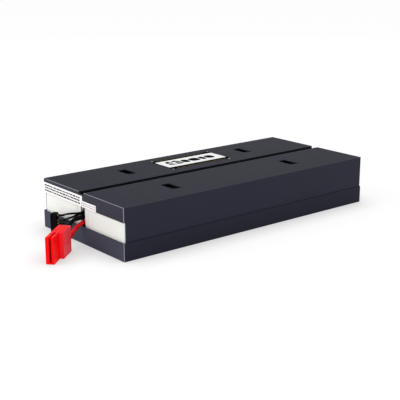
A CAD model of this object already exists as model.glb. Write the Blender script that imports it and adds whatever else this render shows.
"""Looks of the rack UPS battery cartridge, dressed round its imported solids.

Metres, in the row frame: +X is the cartridge's right side, -Y its front, +Z up.
"""

import math
import random

import bmesh
import bpy
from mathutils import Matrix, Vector


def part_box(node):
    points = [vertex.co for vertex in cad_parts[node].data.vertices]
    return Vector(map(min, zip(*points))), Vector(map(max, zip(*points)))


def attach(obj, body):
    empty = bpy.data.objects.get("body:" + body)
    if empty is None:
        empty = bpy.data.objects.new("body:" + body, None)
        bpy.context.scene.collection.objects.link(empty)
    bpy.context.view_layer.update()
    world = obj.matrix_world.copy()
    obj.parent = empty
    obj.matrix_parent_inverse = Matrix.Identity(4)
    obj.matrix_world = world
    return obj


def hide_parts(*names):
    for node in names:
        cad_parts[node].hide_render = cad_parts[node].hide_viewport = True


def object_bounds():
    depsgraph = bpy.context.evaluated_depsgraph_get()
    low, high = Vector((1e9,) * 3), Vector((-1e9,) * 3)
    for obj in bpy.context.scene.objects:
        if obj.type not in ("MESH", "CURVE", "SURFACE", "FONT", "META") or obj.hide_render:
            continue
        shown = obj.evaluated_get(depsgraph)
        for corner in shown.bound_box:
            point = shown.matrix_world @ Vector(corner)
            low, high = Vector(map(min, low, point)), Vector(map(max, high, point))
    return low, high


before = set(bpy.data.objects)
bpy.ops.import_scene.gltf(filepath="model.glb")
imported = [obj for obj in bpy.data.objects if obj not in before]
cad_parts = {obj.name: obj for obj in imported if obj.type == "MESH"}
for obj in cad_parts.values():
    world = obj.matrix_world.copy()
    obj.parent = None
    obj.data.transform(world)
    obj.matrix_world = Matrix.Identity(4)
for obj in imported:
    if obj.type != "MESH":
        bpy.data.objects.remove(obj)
cad_low, cad_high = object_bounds()
cover_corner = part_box("cover_right")[1]     # how far the covers reach to the right, back and top

MM = 0.001

# --- where a surface changes: pairs are parts of the normal, from none to all of the change ---
UPWARD = (0.8, 0.95)            # Z, faces that look up
FRONTWARD = (-0.9, -0.98)       # Y, faces that look to the front
TURNING = (0.98, 0.9)           # largest part, rounded edges
EDGE_FRONTWARD = (-0.1, -0.4)   # Y, edges that slide in first
EDGE_SIDE_SHARE = 0.12          # how much the other edges are rubbed
EDGE_POLISH = 0.55              # roughness of a rubbed edge next to the plain surface
RECESS_START = 0.3 * MM         # depth below the covers' top where their plastic darkens
RECESS_DEPTH = 1.6 * MM         # depth where it is darkest
RECESS_INSET = 3 * MM           # openings lie at least this far inside the covers' outline
RECESS_SHARE = 0.12             # brightness that is left in them

# --- how even a surface is: pairs are times its plain value, from least to most ---
CLOUD_SIZE = 60 * MM            # cloudiness of moulded plastic
GLOSS_SIZE = 9 * MM             # patches of its gloss
GLOSS_CHANGE = (0.98, 1.02)
METAL_SHADES = (0.9, 1.06)      # along the fine drawing marks of bright metal
METAL_ROUGHNESS = (0.8, 1.3)
METAL_MARK_SIZE = 0.15 * MM
METAL_MARK_STRETCH = (1, 8, 1)
SKIN_SHADES = (0.92, 1.1)       # along drawn PVC insulation
SKIN_ROUGHNESS = (0.28, 0.42)   # as it is, not times a plain value
SKIN_WAVE_SIZE = 5 * MM
SKIN_BUMP_SIZE = 1.2 * MM
INK_SHADES = (0.95, 1.05)
INK_PATCH_SIZE = 1.5 * MM
INK_BUMP_SIZE = 0.4 * MM

# --- power plug, as its solid is placed ---
PLUG_CORNER = Vector((43.0, -311.5, 0.0)) * MM
PLUG_TURN = math.radians(41)
PLUG_FRONT_LENGTH = 24 * MM     # mating end, in front of the rear block
PLUG_BACKWARD = (-math.sin(PLUG_TURN), math.cos(PLUG_TURN), 0.0)
PLUG_BLOCK_START = PLUG_CORNER.dot(PLUG_BACKWARD) + PLUG_FRONT_LENGTH
PLUG_BLOCK_BLUR = 0.3 * MM

# --- leads: hand-chosen points of their routes, in millimetres ---
POWER_LEAD_DIAMETER = 5.6
SENSE_LEAD_DIAMETER = 3.0
ROUTES = {
    "red_lead": [
        (0.0, -223.5, 30.8), (0.0, -230.0, 29.4), (0.2, -239.4, 24.4), (1.4, -247.4, 15.9),
        (6.64, -256.84, 9.4), (15.17, -266.65, 9.4),
    ],
    "black_lead": [
        (0.0, -223.5, 38.2), (0.0, -232.5, 38.2), (0.3, -243.5, 36.6),
        (6.64, -256.84, 27.2), (15.17, -266.65, 27.2),
    ],
    "sense_lead_high": [
        (-0.6, -223.5, 44.4), (-0.6, -232.2, 44.1), (-7.4, -239.0, 43.4),
        (-18.0, -240.4, 40.6), (-27.0, -237.4, 37.7), (-35.0, -233.6, 34.8),
        (-44.09, -233.22, 30.91), (-49.29, -236.22, 30.91),
    ],
    "sense_lead_middle": [
        (-3.4, -223.5, 41.9), (-3.6, -231.9, 41.5), (-9.0, -238.5, 37.8),
        (-19.0, -240.4, 33.6), (-28.1, -237.1, 30.2), (-35.5, -233.3, 26.9),
        (-44.09, -233.22, 22.99), (-49.29, -236.22, 22.99),
    ],
    "sense_lead_low": [
        (-3.4, -223.5, 34.5), (-3.4, -232.1, 34.5), (-8.4, -238.0, 32.0),
        (-18.5, -240.2, 28.1), (-27.5, -237.6, 24.5), (-35.2, -233.6, 21.6),
        (-44.09, -233.22, 19.03), (-49.29, -236.22, 19.03),
    ],
}

# --- colours as they show, sRGB 0 to 255 ---
COVER_GREY = (24, 24, 46)       # the covers' gloss makes it look paler
COVER_FRONT = (42, 44, 60)      # front faces, dusty from handling
TRAY_GREY = (17, 17, 39)
TRAY_FRONT = (55, 60, 77)
EDGE_GREY = (150, 150, 160)     # plastic rubbed pale
BATTERY_WHITE = (244, 245, 240)
BATTERY_DULL = (235, 242, 237)  # right column
BATTERY_TOP = (6, 6, 8)         # shows in the covers' openings alone
LABEL_WHITE = (250, 250, 250)
LABEL_BLACK = (6, 6, 8)
LABEL_LINE = (206, 204, 196)
LABEL_TEXT = (120, 104, 78)
PRINT_BLACK = (4, 4, 6)
PRINT_GREY = (150, 150, 160)
PLUG_RED = (255, 0, 4)
PLUG_PALE = (255, 66, 76)       # sides of the plug's rear block
LEAD_RED = (250, 2, 8)
LEAD_BLACK = (2, 2, 4)
SENSE_PLUG_BLACK = (4, 4, 10)
GUIDE_GREY = (8, 8, 10)
CLAMP_GREY = (50, 54, 62)
SCREW_STEEL = (168, 164, 158)
TERMINAL_TIN = (214, 212, 206)
CONTACT_BRASS = (232, 214, 130)
CONTACT_SILVER = (222, 222, 220)


def linear(colour):
    """A shown colour in the renderer's linear values."""
    values = []
    for part in colour:
        share = part / 255
        values.append(share / 12.92 if share <= 0.04045 else ((share + 0.055) / 1.055) ** 2.4)
    return (*values, 1.0)


def scaled(colour, factor):
    """A shown colour made lighter or darker."""
    return tuple(min(255, part * factor) for part in colour)


# --- materials ---

class Shader:
    """One material with its Principled shader, built a node at a time."""

    def __init__(self, name, roughness, metallic=0.0, specular=0.5):
        self.material = bpy.data.materials.new(name)
        self.material.use_nodes = True
        self.tree = self.material.node_tree
        self.surface = self.tree.nodes["Principled BSDF"]
        self.surface.inputs["Roughness"].default_value = roughness
        self.surface.inputs["Metallic"].default_value = metallic
        self.surface.inputs["Specular IOR Level"].default_value = specular
        coordinates = self.node("ShaderNodeTexCoord")
        self.place = coordinates.outputs["Object"]
        self.normal = coordinates.outputs["Normal"]

    def node(self, kind, **settings):
        """A new node with its settings."""
        made = self.tree.nodes.new(kind)
        for key, value in settings.items():
            setattr(made, key, value)
        return made

    def link(self, source, target):
        """Joins an output to an input."""
        self.tree.links.new(source, target)

    def noise(self, size, detail=2.0, stretch=(1, 1, 1)):
        """Noise whose features are about size metres across, longer where stretch is large."""
        mapping = self.node("ShaderNodeMapping")
        mapping.inputs["Scale"].default_value = [1 / (size * share) for share in stretch]
        noise = self.node("ShaderNodeTexNoise")
        noise.inputs["Scale"].default_value = 1.0
        noise.inputs["Detail"].default_value = detail
        self.link(self.place, mapping.inputs["Vector"])
        self.link(mapping.outputs["Vector"], noise.inputs["Vector"])
        return noise.outputs["Fac"]

    def span(self, source, low, high, start=0.3, end=0.7):
        """Source from start to end, spread over low to high."""
        ranged = self.node("ShaderNodeMapRange")
        for name, value in (("From Min", start), ("From Max", end),
                            ("To Min", low), ("To Max", high)):
            ranged.inputs[name].default_value = value
        self.link(source, ranged.inputs["Value"])
        return ranged.outputs["Result"]

    def blend(self, share, first, second):
        """Colour between first and second by share. Each is a colour or a socket."""
        mix = self.node("ShaderNodeMix", data_type="RGBA")
        self.link(share, mix.inputs["Factor"])
        for socket, value in ((mix.inputs[6], first), (mix.inputs[7], second)):
            if isinstance(value, tuple):
                socket.default_value = value
            else:
                self.link(value, socket)
        return mix.outputs[2]

    def mixed(self, share, first, second):
        """Number between the socket first and the number second by share."""
        mix = self.node("ShaderNodeMix", data_type="FLOAT")
        self.link(share, mix.inputs["Factor"])
        self.link(first, mix.inputs["A"])
        mix.inputs["B"].default_value = second
        return mix.outputs["Result"]

    def parts(self, source):
        """X, Y and Z sockets of a vector."""
        separate = self.node("ShaderNodeSeparateXYZ")
        self.link(source, separate.inputs["Vector"])
        return separate.outputs

    def maths(self, operation, *values):
        """Result of an operation on one or two values. Each is a number or a socket."""
        result = self.node("ShaderNodeMath", operation=operation)
        for socket, value in zip(result.inputs, values):
            if isinstance(value, float):
                socket.default_value = value
            else:
                self.link(value, socket)
        return result.outputs["Value"]

    def facing(self, axis, limits, low=0.0):
        """Low where the normal's part along axis is the first of limits, one at the second."""
        return self.span(self.parts(self.normal)[axis], low, 1, *limits)

    def rounded_edges(self):
        """One on the rounded edges that face the front, less on the others, nought elsewhere."""
        size = self.node("ShaderNodeVectorMath", operation="ABSOLUTE")
        self.link(self.normal, size.inputs[0])
        sizes = self.parts(size.outputs["Vector"])
        largest = self.maths("MAXIMUM", self.maths("MAXIMUM", sizes["X"], sizes["Y"]), sizes["Z"])
        turning = self.span(largest, 0, 1, *TURNING)
        return self.maths("MULTIPLY", turning, self.facing("Y", EDGE_FRONTWARD, EDGE_SIDE_SHARE))

    def recess(self):
        """One inside the covers' groove and openings, nought on their outer faces."""
        place = self.parts(self.place)
        within = self.span(place["Z"], 0, 1, cover_corner.z - RECESS_START,
                           cover_corner.z - RECESS_DEPTH)
        for axis, reach in (("X", cover_corner.x), ("Y", cover_corner.y)):
            inside = self.maths("LESS_THAN", self.maths("ABSOLUTE", place[axis]),
                                reach - RECESS_INSET)
            within = self.maths("MULTIPLY", within, inside)
        return within

    def colour(self, source):
        """Gives the surface its colour."""
        self.link(source, self.surface.inputs["Base Color"])

    def shades(self, source, colour, factors):
        """A colour from the first to the second of factors times its brightness."""
        first, second = (linear(scaled(colour, factor)) for factor in factors)
        return self.blend(self.span(source, 0, 1), first, second)

    def tint(self, share, colour):
        """Turns the surface's colour to another by share."""
        source = self.surface.inputs["Base Color"].links[0].from_socket
        self.colour(self.blend(share, source, linear(colour)))

    def roughness(self, source):
        """Gives the surface its roughness."""
        self.link(source, self.surface.inputs["Roughness"])

    def bump(self, source, depth):
        """Raises the surface by up to depth metres along source."""
        bump = self.node("ShaderNodeBump")
        bump.inputs["Strength"].default_value = 1.0
        bump.inputs["Distance"].default_value = depth
        self.link(source, bump.inputs["Height"])
        previous = self.surface.inputs["Normal"]
        if previous.is_linked:
            self.link(previous.links[0].from_socket, bump.inputs["Normal"])
        self.link(bump.outputs["Normal"], previous)


def moulded(name, colour, roughness, grain=0.5 * MM, depth=0.01 * MM, uneven=0.02,
            specular=0.5, edge=None, shaded=False, front=None):
    """Moulded plastic: faint cloudiness, an even fine grain and small changes of gloss.

    Where edge is a colour, the rounded edges that slide in first are rubbed to it. Where
    front is one, the faces that look to the front have it. A shaded part keeps darker,
    unpolished plastic inside its groove and openings.
    """
    shader = Shader(name, roughness, specular=specular)
    cloud = shader.noise(CLOUD_SIZE, detail=4)
    shader.colour(shader.shades(cloud, colour, (1 - uneven, 1 + uneven)))
    gloss = shader.span(shader.noise(GLOSS_SIZE, detail=3),
                        *(roughness * change for change in GLOSS_CHANGE))
    if front:
        shader.tint(shader.facing("Y", FRONTWARD), front)
    if edge:
        rubbed = shader.rounded_edges()
        shader.tint(rubbed, edge)
        gloss = shader.mixed(rubbed, gloss, roughness * EDGE_POLISH)
    if shaded:
        within = shader.recess()
        shader.tint(within, scaled(colour, RECESS_SHARE))
        gloss = shader.mixed(within, gloss, 1.0)
    shader.roughness(gloss)
    shader.bump(shader.noise(grain, detail=1), depth)
    return shader


def battery_case(name, colour):
    """A battery's smooth plastic, dark where it looks up."""
    shader = moulded(name, colour, roughness=0.45, grain=0.8 * MM, uneven=0.012)
    shader.tint(shader.facing("Z", UPWARD), BATTERY_TOP)
    return shader


def plug_plastic(name, colour, rear_colour):
    """The power plug's plastic, with another colour on the sides of its rear block."""
    shader = moulded(name, colour, roughness=0.4, grain=0.7 * MM, depth=0.03 * MM, specular=0.1)
    along = shader.node("ShaderNodeVectorMath", operation="DOT_PRODUCT")
    shader.link(shader.place, along.inputs[0])
    along.inputs[1].default_value = PLUG_BACKWARD
    rear = shader.span(along.outputs["Value"], 0, 1, PLUG_BLOCK_START - PLUG_BLOCK_BLUR,
                       PLUG_BLOCK_START + PLUG_BLOCK_BLUR)
    shader.tint(shader.mixed(shader.facing("Z", UPWARD), rear, 0.0), rear_colour)
    return shader


def metal(name, colour, roughness):
    """Bright metal with fine drawing marks."""
    shader = Shader(name, roughness, metallic=1.0)
    marks = shader.noise(METAL_MARK_SIZE, stretch=METAL_MARK_STRETCH)
    shader.colour(shader.shades(marks, colour, METAL_SHADES))
    shader.roughness(shader.span(marks, *(roughness * change for change in METAL_ROUGHNESS)))
    shader.bump(marks, depth=0.01 * MM)
    return shader


def insulation(name, colour, specular):
    """Soft PVC: satin skin with the slight unevenness of drawn insulation."""
    shader = Shader(name, roughness=0.34, specular=specular)
    wave = shader.noise(SKIN_WAVE_SIZE)
    shader.colour(shader.shades(wave, colour, SKIN_SHADES))
    shader.roughness(shader.span(wave, *SKIN_ROUGHNESS))
    shader.bump(shader.noise(SKIN_BUMP_SIZE), depth=0.02 * MM)
    return shader


def printed(name, colour):
    """Matt ink on a label, a little uneven."""
    shader = Shader(name, roughness=0.8, specular=0.04)
    shader.colour(shader.shades(shader.noise(INK_PATCH_SIZE), colour, INK_SHADES))
    shader.bump(shader.noise(INK_BUMP_SIZE), depth=0.004 * MM)
    return shader


def make_materials():
    """Every material by name."""
    shaders = {
        "cover": moulded("cover_plastic", COVER_GREY, roughness=0.6, specular=0.3,
                         edge=EDGE_GREY, front=COVER_FRONT, shaded=True),
        "tray": moulded("tray_plastic", TRAY_GREY, roughness=0.62, specular=0.3,
                        edge=EDGE_GREY, front=TRAY_FRONT),
        "battery": battery_case("battery_case", BATTERY_WHITE),
        "battery_dull": battery_case("battery_case_dull", BATTERY_DULL),
        "label": moulded("label_film", LABEL_WHITE, roughness=0.35, grain=0.3 * MM,
                         depth=0.004 * MM, uneven=0.01),
        "label_black": printed("label_black", LABEL_BLACK),
        "label_line": printed("label_line", LABEL_LINE),
        "label_text": printed("label_text", LABEL_TEXT),
        "print_black": printed("print_black", PRINT_BLACK),
        "print_grey": printed("print_grey", PRINT_GREY),
        "guide": moulded("guide_plastic", GUIDE_GREY, roughness=0.6, specular=0.1),
        "clamp": moulded("clamp_plastic", CLAMP_GREY, roughness=0.5),
        "plug": plug_plastic("power_plug_plastic", PLUG_RED, PLUG_PALE),
        "sense_plug": moulded("sense_plug_plastic", SENSE_PLUG_BLACK, roughness=0.5,
                              specular=0.06),
        "red": insulation("red_insulation", LEAD_RED, specular=0.25),
        "black": insulation("black_insulation", LEAD_BLACK, specular=0.1),
        "sleeve": insulation("sleeve_rubber", LEAD_BLACK, specular=0.1),
        "screw": metal("screw_steel", SCREW_STEEL, roughness=0.34),
        "tin": metal("terminal_tin", TERMINAL_TIN, roughness=0.3),
        "brass": metal("contact_brass", CONTACT_BRASS, roughness=0.3),
        "silver": metal("contact_silver", CONTACT_SILVER, roughness=0.24),
    }
    return {name: shader.material for name, shader in shaders.items()}


def paint(node, material):
    """Gives a CAD node its material."""
    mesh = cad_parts[node].data
    mesh.materials.clear()
    mesh.materials.append(material)


def paint_nodes(materials):
    """Materials of the CAD nodes, apart from the leads that curves replace."""
    coats = {
        "tray": "tray", "cover_left": "cover", "cover_right": "cover",
        "top_label": "label_black", "front_label": "label",
        "lead_guide": "guide", "lead_clamp": "clamp", "clamp_screw": "screw",
        "plug_housing": "plug", "sense_plug_housing": "sense_plug",
        "red_lead_inner": "red", "black_lead_inner": "black", "jumper_cross": "black",
    }
    for pole in ("lower", "upper"):
        coats["contact_" + pole] = "silver"
    for level in ("low", "middle", "high"):
        coats["tap_sleeve_" + level] = "sleeve"
        coats["sense_lead_%s_inner" % level] = "black"
        coats["sense_contact_" + level] = "brass"
    for side, battery in (("right", "battery_dull"), ("left", "battery")):
        for row in ("front", "middle", "rear"):
            coats["battery_%s_%s" % (side, row)] = battery
            coats["terminals_%s_%s" % (side, row)] = "tin"
            coats["receptacles_%s_%s" % (side, row)] = "brass"
        for row in ("front", "rear"):
            coats["jumper_%s_%s" % (side, row)] = "black"
    for node, coat in coats.items():
        paint(node, materials[coat])


# --- leads ---

def make_lead(name, points, diameter, material):
    """A lead as a smooth round curve along its route, in place of its solid."""
    curve = bpy.data.curves.new(name + "_soft", "CURVE")
    curve.dimensions = "3D"
    spline = curve.splines.new("NURBS")
    spline.points.add(len(points) - 1)
    for point, place in zip(spline.points, points):
        point.co = (*(value * MM for value in place), 1.0)
    spline.order_u = 3
    spline.use_endpoint_u = True
    spline.resolution_u = 16
    curve.bevel_depth = diameter / 2 * MM
    curve.bevel_resolution = 6
    curve.use_fill_caps = True
    curve.materials.append(material)
    lead = bpy.data.objects.new(name + "_soft", curve)
    bpy.context.collection.objects.link(lead)
    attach(lead, "root")
    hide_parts(name)
    return lead


def make_leads(materials):
    """The five free leads, each declared with what is on it."""
    for name, points in ROUTES.items():
        colour = "red" if name == "red_lead" else "black"
        diameter = SENSE_LEAD_DIAMETER if name.startswith("sense") else POWER_LEAD_DIAMETER
        lead = make_lead(name, points, diameter, materials[colour])


# --- print on the labels, in millimetres ---

PRINT_THICKNESS = 0.03
CORNER_STEPS = 5                # points of a rounded corner

TOP_BORDER = 6.0                # black film that shows beyond the label's long edges
TOP_BAND_SIDE = 5.2             # label's long edge to the white band
TOP_BAND_END = 2.4
TOP_BAND_RADIUS = 2.0
TOP_MARK_LENGTH = 4.5           # light marks at the label's corners
TOP_MARK_SHORT = 2.5            # the two that start at its ends
TOP_MARK_INSET = 3.0            # the label's end to the other two
TOP_MARK_WIDTH = 1.6
TOP_TEXT_START, TOP_TEXT_END = 12.0, 106.0      # rows of small bars on the borders
TOP_TEXT_HEIGHT = 1.6
TOP_SEED = 3

SIGN_LEFT = 14.0                # battery sign on the top label's band
SIGN_WIDTH = 25.0
SIGN_HEIGHT = 18.0
SIGN_LINE = 3.4
SIGN_POLES = (("minus", 0.25), ("plus", 0.75))      # places along the sign's width
SIGN_ARM = 1.3                  # half of a minus or plus, next to the sign's line
BAR_GAP = 2.2                   # plain bars beside the sign
BAR_HEIGHT = 17.0
BAR_LENGTHS = (13.0, 18.0, 9.5, 15.0)
BAR_ROUNDING = 1 / 3            # radius of a bar's corners next to its height

DARK_START, DARK_END = 2.5, 97.0    # bars on the front label, across from its left end
DARK_ROWS = (3.9, 7.9, 11.7)        # and up from its lower edge
DARK_HEIGHT = 1.9
FAINT_START, FAINT_END = 103.0, 134.0
FAINT_ROWS = (3.0, 6.0)
FAINT_HEIGHT = 1.1
FOLD_ACROSS = 100.4             # dark specks beside the front label's step
FOLD_WIDTH = 1.3
FOLD_MARKS = (1.0, 3.4, 5.9)
FRONT_SEED = 7

DASH_LENGTHS = (1.0, 4.5)       # of the small bars, next to their height
DASH_GAPS = (0.35, 0.7)
DASH_ROUNDING = 1 / 4


class Print:
    """Flat fields of one ink on a label's face, built in its own plane.

    Fields are given in millimetres, across and up from the label's lowest corner as it is
    read from outside. The ink's back lies out millimetres in front of the label's face.
    """

    def __init__(self, label, facing, out=0.0):
        low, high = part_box(label)
        self.form = bmesh.new()
        self.out = out
        self.top = facing == "top"
        if self.top:
            self.width, self.height = (high.y - low.y) / MM, (high.x - low.x) / MM
            self.corner = Vector((high.x, low.y, high.z))
        else:
            self.width, self.height = (high.x - low.x) / MM, (high.z - low.z) / MM
            self.corner = Vector((low.x, low.y, low.z))

    def spot(self, across, up, out):
        """Place of a point of the face, out millimetres in front of it."""
        if self.top:
            return self.corner + Vector((-up, across, out)) * MM
        return self.corner + Vector((across, -out, up)) * MM

    def field(self, left, bottom, right, top, radius=0.0):
        """Rectangle, with rounded corners where it has a radius."""
        radius = min(radius, (right - left) / 2, (top - bottom) / 2)
        corners = ((right - radius, bottom + radius, -90), (right - radius, top - radius, 0),
                   (left + radius, top - radius, 90), (left + radius, bottom + radius, 180))
        outline = []
        for x, y, start in corners:
            for step in range(CORNER_STEPS if radius else 1):
                angle = math.radians(start + 90 * step / (CORNER_STEPS - 1))
                outline.append((x + radius * math.cos(angle), y + radius * math.sin(angle)))
        under = [self.form.verts.new(self.spot(x, y, self.out)) for x, y in outline]
        over = [self.form.verts.new(self.spot(x, y, self.out + PRINT_THICKNESS))
                for x, y in outline]
        self.form.faces.new(over)
        self.form.faces.new(under[::-1])
        for i in range(len(outline)):
            j = (i + 1) % len(outline)
            self.form.faces.new((under[i], under[j], over[j], over[i]))

    def ring(self, left, bottom, right, top, width):
        """Line along the inside of a rectangle."""
        self.field(left, bottom, right, bottom + width)
        self.field(left, top - width, right, top)
        self.field(left, bottom + width, left + width, top - width)
        self.field(right - width, bottom + width, right, top - width)

    def dashes(self, rng, start, end, up, height):
        """Row of short bars of uneven lengths and gaps."""
        across = start
        while across < end - height:
            length = min(rng.uniform(*DASH_LENGTHS) * height, end - across)
            self.field(across, up - height / 2, across + length, up + height / 2,
                       height * DASH_ROUNDING)
            across += length + rng.uniform(*DASH_GAPS) * height

    def finish(self, name, material):
        """The ink as a piece that rides with the cartridge."""
        bmesh.ops.recalc_face_normals(self.form, faces=self.form.faces)
        mesh = bpy.data.meshes.new(name)
        self.form.to_mesh(mesh)
        self.form.free()
        mesh.materials.append(material)
        piece = bpy.data.objects.new(name, mesh)
        bpy.context.collection.objects.link(piece)
        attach(piece, "root")


def print_top_border(sunk):
    """Black strips on the cover beyond the label's long edges."""
    border = Print("top_label", "top", out=sunk)
    for bottom in (-TOP_BORDER, border.height):
        border.field(0, bottom, border.width, bottom + TOP_BORDER)
    return border


def print_top_band():
    """The label's white band."""
    band = Print("top_label", "top")
    band.field(TOP_BAND_END, TOP_BAND_SIDE, band.width - TOP_BAND_END,
               band.height - TOP_BAND_SIDE, TOP_BAND_RADIUS)
    return band


def print_top_marks(sunk):
    """A light mark near each corner of the black strips."""
    marks = Print("top_label", "top", out=sunk + PRINT_THICKNESS)
    low_up, high_up = -TOP_BORDER, marks.height + TOP_BORDER - TOP_MARK_WIDTH
    for start, length, up in (
            (TOP_MARK_INSET, TOP_MARK_LENGTH, high_up),
            (marks.width - TOP_MARK_INSET - TOP_MARK_LENGTH, TOP_MARK_LENGTH, low_up),
            (0, TOP_MARK_SHORT, low_up),
            (marks.width - TOP_MARK_SHORT, TOP_MARK_SHORT, high_up)):
        marks.field(start, up, start + length, up + TOP_MARK_WIDTH)
    return marks


def print_top_text(sunk):
    """A row of small bars on each black strip."""
    text = Print("top_label", "top", out=sunk + PRINT_THICKNESS)
    rng = random.Random(TOP_SEED)
    for up in (-TOP_BORDER / 2, text.height + TOP_BORDER / 2):
        text.dashes(rng, TOP_TEXT_START, TOP_TEXT_END, up, TOP_TEXT_HEIGHT)
    return text


def print_top_sign():
    """A plain battery sign and plain bars on the white band."""
    sign = Print("top_label", "top", out=PRINT_THICKNESS)
    middle = sign.height / 2
    half_line = SIGN_LINE / 2
    right, top = SIGN_LEFT + SIGN_WIDTH, middle + SIGN_HEIGHT / 2
    sign.ring(SIGN_LEFT, middle - SIGN_HEIGHT / 2, right, top, SIGN_LINE)
    arm = SIGN_LINE * SIGN_ARM
    for pole, share in SIGN_POLES:
        across = SIGN_LEFT + share * SIGN_WIDTH
        sign.field(across - SIGN_LINE, top, across + SIGN_LINE, top + SIGN_LINE)
        sign.field(across - arm, middle - half_line, across + arm, middle + half_line)
        if pole == "plus":
            sign.field(across - half_line, middle - arm, across + half_line, middle + arm)
    across = right + BAR_GAP
    for length in BAR_LENGTHS:
        sign.field(across, middle - BAR_HEIGHT / 2, across + length, middle + BAR_HEIGHT / 2,
                   BAR_HEIGHT * BAR_ROUNDING)
        across += length + BAR_GAP
    return sign


def print_top_label(materials):
    """White band with a sign and bars, between black borders with small bars and marks."""
    low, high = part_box("top_label")
    sunk = (low.z - high.z) / MM        # from the label's face down to the cover's
    print_top_border(sunk).finish("top_label_border", materials["label_black"])
    print_top_band().finish("top_label_band", materials["label"])
    print_top_marks(sunk).finish("top_label_marks", materials["label_line"])
    print_top_text(sunk).finish("top_label_text", materials["label_text"])
    print_top_sign().finish("top_label_sign", materials["print_black"])


def print_front_label(materials):
    """Rows of short bars, dark on the tall part of the label and faint on the low part."""
    rng = random.Random(FRONT_SEED)
    bars = Print("front_label", "front")
    for up in DARK_ROWS:
        bars.dashes(rng, DARK_START, DARK_END, up, DARK_HEIGHT)
    for bottom in FOLD_MARKS:
        bars.field(FOLD_ACROSS, bottom, FOLD_ACROSS + FOLD_WIDTH, bottom + FOLD_WIDTH)
    bars.finish("front_label_bars", materials["print_black"])

    faint = Print("front_label", "front")
    for up in FAINT_ROWS:
        faint.dashes(rng, FAINT_START, FAINT_END, up, FAINT_HEIGHT)
    faint.finish("front_label_faint", materials["print_grey"])


# --- stage ---

CAMERA_PLACE = (1.02991, -0.86302, 0.40070)
CAMERA_TILT = 74.240            # degrees from straight down
CAMERA_TURN = 50.658            # degrees to the left of straight back
CAMERA_LENS = 82.09
LAMP_TARGET = (0, 0, 0.04)
LAMPS = (                       # name, place, size in metres and power in watts
    ("back", (-1.9, 1.6, 0.8), 1.4, 1.5),
    ("front", (-0.9, -2.2, 1.6), 1.6, 26),
    ("side", (2.1, 1.1, 0.9), 1.4, 7),
)
FILL = 0.82                     # world's strength where it lights
MIRRORED = 0.45                 # where a glossy ray meets it
FLOOR_SIZE = 30.0
FLOOR_DROP = 0.05 * MM          # floor below the cartridge's base
FLOOR_GREY = 0.9                # where it lights the cartridge
FLOOR_GREY_SEEN = 0.22          # the camera sees a floor that is part light of its own
FLOOR_GLOW_SEEN = 0.8
FLOOR_SHADE_REACH = 45 * MM     # how near a part has to be to shade the floor's own light
FLOOR_SHADE_OPEN = 0.4          # how open the floor is where that shade is deepest
FLOOR_SHADE = 0.64              # light that is left there


def make_camera():
    """Long lens from the front right, a little above."""
    data = bpy.data.cameras.new("camera")
    data.lens = CAMERA_LENS
    data.sensor_width = 36.0
    data.clip_start, data.clip_end = 0.05, 100.0
    camera = bpy.data.objects.new("camera", data)
    camera.location = CAMERA_PLACE
    camera.rotation_euler = (math.radians(CAMERA_TILT), 0, math.radians(CAMERA_TURN))
    bpy.context.collection.objects.link(camera)
    bpy.context.scene.camera = camera


def add_light(name, place, size, power):
    """A square soft light that looks at the cartridge."""
    data = bpy.data.lights.new(name, "AREA")
    data.shape = "SQUARE"
    data.size = size
    data.energy = power
    light = bpy.data.objects.new(name, data)
    light.location = place
    view = Vector(LAMP_TARGET) - Vector(place)
    light.rotation_euler = view.to_track_quat("-Z", "Y").to_euler()
    bpy.context.collection.objects.link(light)


def make_lights():
    """Plain soft studio light, strongest from the front left."""
    for lamp in LAMPS:
        add_light(*lamp)


def ray_level(tree, plain, seen, mirrored=None):
    """Socket that is plain for light, seen for camera rays and mirrored for glossy ones."""
    path = tree.nodes.new("ShaderNodeLightPath")
    level = None
    for ray, value in (("Is Glossy Ray", mirrored), ("Is Transmission Ray", seen),
                       ("Is Camera Ray", seen)):
        if value is None:
            continue
        mix = tree.nodes.new("ShaderNodeMix")
        mix.data_type = "FLOAT"
        tree.links.new(path.outputs[ray], mix.inputs["Factor"])
        mix.inputs["A"].default_value = plain
        if level is not None:
            tree.links.new(level, mix.inputs["A"])
        mix.inputs["B"].default_value = value
        level = mix.outputs["Result"]
    return level


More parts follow.
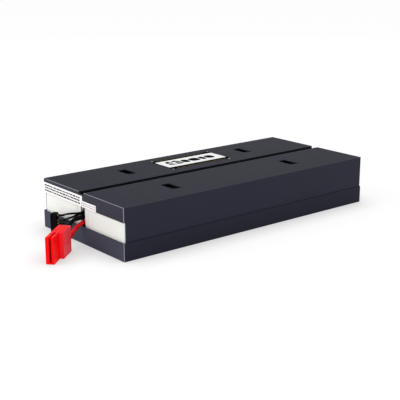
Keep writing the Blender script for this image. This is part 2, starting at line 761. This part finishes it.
def make_world():
    """White where it is seen, a plain soft fill where it lights."""
    world = bpy.data.worlds.new("studio")
    world.use_nodes = True
    tree = world.node_tree
    background = tree.nodes["Background"]
    background.inputs["Color"].default_value = (1, 1, 1, 1)
    tree.links.new(ray_level(tree, FILL, 1.0, MIRRORED), background.inputs["Strength"])
    bpy.context.scene.world = world


def make_floor():
    """Pale floor that is seen as white and keeps a soft shadow of the cartridge."""
    mesh = bpy.data.meshes.new("floor")
    form = bmesh.new()
    bmesh.ops.create_grid(form, x_segments=2, y_segments=2, size=FLOOR_SIZE / 2)
    form.to_mesh(mesh)
    form.free()
    floor = bpy.data.objects.new("floor", mesh)
    floor.location = (0, 0, cad_low.z - FLOOR_DROP)
    material = bpy.data.materials.new("floor")
    material.use_nodes = True
    tree = material.node_tree
    surface = tree.nodes["Principled BSDF"]
    surface.inputs["Roughness"].default_value = 0.8
    surface.inputs["Specular IOR Level"].default_value = 0.0
    surface.inputs["Emission Color"].default_value = (1, 1, 1, 1)
    tree.links.new(ray_level(tree, FLOOR_GREY, FLOOR_GREY_SEEN), surface.inputs["Base Color"])
    near = tree.nodes.new("ShaderNodeAmbientOcclusion")
    near.inputs["Distance"].default_value = FLOOR_SHADE_REACH
    shade = tree.nodes.new("ShaderNodeMapRange")
    shade.inputs["From Min"].default_value = FLOOR_SHADE_OPEN
    shade.inputs["To Min"].default_value = FLOOR_SHADE
    tree.links.new(near.outputs["AO"], shade.inputs["Value"])
    glow = tree.nodes.new("ShaderNodeMath")
    glow.operation = "MULTIPLY"
    tree.links.new(ray_level(tree, 0.0, FLOOR_GLOW_SEEN), glow.inputs[0])
    tree.links.new(shade.outputs["Result"], glow.inputs[1])
    tree.links.new(glow.outputs["Value"], surface.inputs["Emission Strength"])
    mesh.materials.append(material)
    bpy.context.collection.objects.link(floor)


def main():
    """Builds the looks and the studio."""
    materials = make_materials()
    paint_nodes(materials)
    make_leads(materials)
    print_top_label(materials)
    print_front_label(materials)
    make_camera()
    make_lights()
    make_world()
    make_floor()
    bpy.context.scene.view_settings.view_transform = "Standard"


main()
